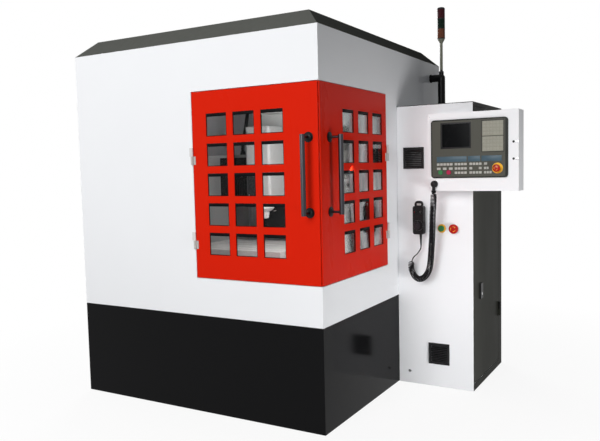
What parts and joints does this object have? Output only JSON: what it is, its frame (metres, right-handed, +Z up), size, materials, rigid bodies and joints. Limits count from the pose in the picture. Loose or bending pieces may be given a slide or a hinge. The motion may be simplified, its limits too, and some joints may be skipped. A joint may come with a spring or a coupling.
{
  "type": "cnc machining center",
  "caption": "Enclosed CNC machining center with windowed corner doors, a control cabinet with an operator panel, a hanging hand pendant and a signal tower.",
  "frame": {"origin": "on the floor under the middle of the whole machine's bounding box", "axes": "+Z up, -Y out of the front, +X to the right where the cabinet stands"},
  "size_m": [2.362, 1.8454, 2.359],
  "materials": {
    "white_paint": "gloss",
    "red_paint": "gloss",
    "black_paint": "gloss",
    "roof_paint": "satin",
    "dark_paint": "satin",
    "cast_paint": "satin",
    "cast": "matte",
    "steel": "ground",
    "sheet_grey": "satin",
    "handle_metal": "satin",
    "pane": "clear",
    "bellows": "matte",
    "black_plastic": "matte",
    "bezel": "satin",
    "screen": "gloss",
    "keypad": "satin",
    "collar": "satin",
    "stop_red": "gloss",
    "start_green": "gloss",
    "cord": "satin",
    "lamp_red": "gloss",
    "lamp_green": "gloss",
    "lamp_amber": "gloss",
    "lamp_white": "gloss"
  },
  "bodies": {
    "machine": {"levelling_feet": "cast", "machine_bed": "cast", "chip_tray": "sheet_grey", "skirt": "black_paint", "wall_front": "white_paint", "wall_right": "white_paint", "wall_left": "white_paint", "wall_rear": "white_paint", "roof_cap": "roof_paint", "gantry": "cast_paint", "linear_rails": "steel", "work_lamp": "lamp_white", "door_hinges": "white_paint", "front_bellows": "bellows", "rear_bellows": "bellows", "left_bellows": "bellows", "right_bellows": "bellows", "cabinet_shell": "white_paint", "cabinet_electrics": "sheet_grey", "vent_grilles": "black_plastic", "operator_box": "white_paint", "panel_bezel": "bezel", "panel_screen": "screen", "panel_keypad": "keypad", "button_collars": "collar", "pendant_body": "black_plastic", "pendant_hook": "white_paint", "pendant_cord": "cord", "curly_cord": "cord", "cable_glands": "black_plastic", "coil_boot": "cord", "beam_conduit": "cord", "cable_duct": "black_paint", "tower_pole": "black_paint", "lamp_amber": "lamp_amber", "lamp_green": "lamp_green", "lamp_red": "lamp_red"},
    "front_leaf": {"front_door": "red_paint", "front_pane": "pane", "front_handle": "handle_metal"},
    "side_leaf": {"side_door": "red_paint", "side_pane": "pane", "side_handle": "handle_metal"},
    "cabinet_leaf": {"cabinet_door": "dark_paint"},
    "latch": {"cabinet_latch": "black_plastic"},
    "table": {"table_carriage": "cast_paint", "work_table": "steel"},
    "saddle": {"x_saddle": "cast_paint", "z_motor": "black_plastic"},
    "head": {"z_head": "cast_paint", "spindle_housing": "steel"},
    "spindle": {"spindle_shaft": "steel"},
    "handwheel": {"handwheel": "black_plastic"},
    "axis_knob": {"axis_knob": "black_plastic"},
    "factor_knob": {"factor_knob": "black_plastic"},
    "cabinet_stop": {"cabinet_stop": "stop_red"},
    "cabinet_start": {"cabinet_start": "start_green"},
    "panel_stop": {"panel_stop": "stop_red"},
    "panel_start": {"panel_start": "start_green"},
    "panel_hold": {"panel_hold": "stop_red"}
  },
  "joints": [
    {"name": "front_door_hinge", "type": "hinge", "parent": "machine", "child": "front_leaf", "pos_m": [-0.326, -0.85575, 1.238], "axis": [0, 0, -1], "range_deg": [0, 100]},
    {"name": "side_door_hinge", "type": "hinge", "parent": "machine", "child": "side_leaf", "pos_m": [0.4505, -0.03325, 1.238], "axis": [0, 0, 1], "range_deg": [0, 85]},
    {"name": "cabinet_door_hinge", "type": "hinge", "parent": "machine", "child": "cabinet_leaf", "pos_m": [0.9105, 0.70425, 0.84], "axis": [0, 0, 1], "range_deg": [0, 110]},
    {"name": "cabinet_latch_flap", "type": "hinge", "parent": "cabinet_leaf", "child": "latch", "pos_m": [0.9033, 0.27575, 0.615], "axis": [0, -1, 0], "range_deg": [0, 70]},
    {"name": "x_axis", "type": "slide", "parent": "machine", "child": "saddle", "axis": [1, 0, 0], "range_m": [-0.29, 0.2], "deforming": ["left_bellows", "right_bellows"]},
    {"name": "y_axis", "type": "slide", "parent": "machine", "child": "table", "axis": [0, 1, 0], "range_m": [-0.2, 0.26], "deforming": ["front_bellows", "rear_bellows"]},
    {"name": "z_axis", "type": "slide", "parent": "saddle", "child": "head", "axis": [0, 0, 1], "range_m": [-0.15, 0.07]},
    {"name": "spindle_turn", "type": "hinge", "parent": "head", "child": "spindle", "pos_m": [-0.327, -0.14825, 1.036], "axis": [0, 0, 1], "continuous": true},
    {"name": "handwheel_turn", "type": "hinge", "parent": "machine", "child": "handwheel", "pos_m": [0.598, 0.05175, 0.969], "axis": [0, -1, 0], "continuous": true},
    {"name": "axis_select", "type": "hinge", "parent": "machine", "child": "axis_knob", "pos_m": [0.581, 0.04975, 1.044], "axis": [0, -1, 0], "range_deg": [0, 90]},
    {"name": "factor_select", "type": "hinge", "parent": "machine", "child": "factor_knob", "pos_m": [0.615, 0.04975, 1.044], "axis": [0, -1, 0], "range_deg": [0, 60]},
    {"name": "cabinet_stop_press", "type": "slide", "parent": "machine", "child": "cabinet_stop", "axis": [0, 1, 0], "range_m": [0, 0.005], "stiffness_N_per_m": 900},
    {"name": "cabinet_start_press", "type": "slide", "parent": "machine", "child": "cabinet_start", "axis": [0, 1, 0], "range_m": [0, 0.003], "stiffness_N_per_m": 700},
    {"name": "panel_stop_press", "type": "slide", "parent": "machine", "child": "panel_stop", "axis": [0, 1, 0], "range_m": [0, 0.005], "stiffness_N_per_m": 700},
    {"name": "panel_start_press", "type": "slide", "parent": "machine", "child": "panel_start", "axis": [0, 1, 0], "range_m": [0, 0.003], "stiffness_N_per_m": 500},
    {"name": "panel_hold_press", "type": "slide", "parent": "machine", "child": "panel_hold", "axis": [0, 1, 0], "range_m": [0, 0.003], "stiffness_N_per_m": 500}
  ]
}
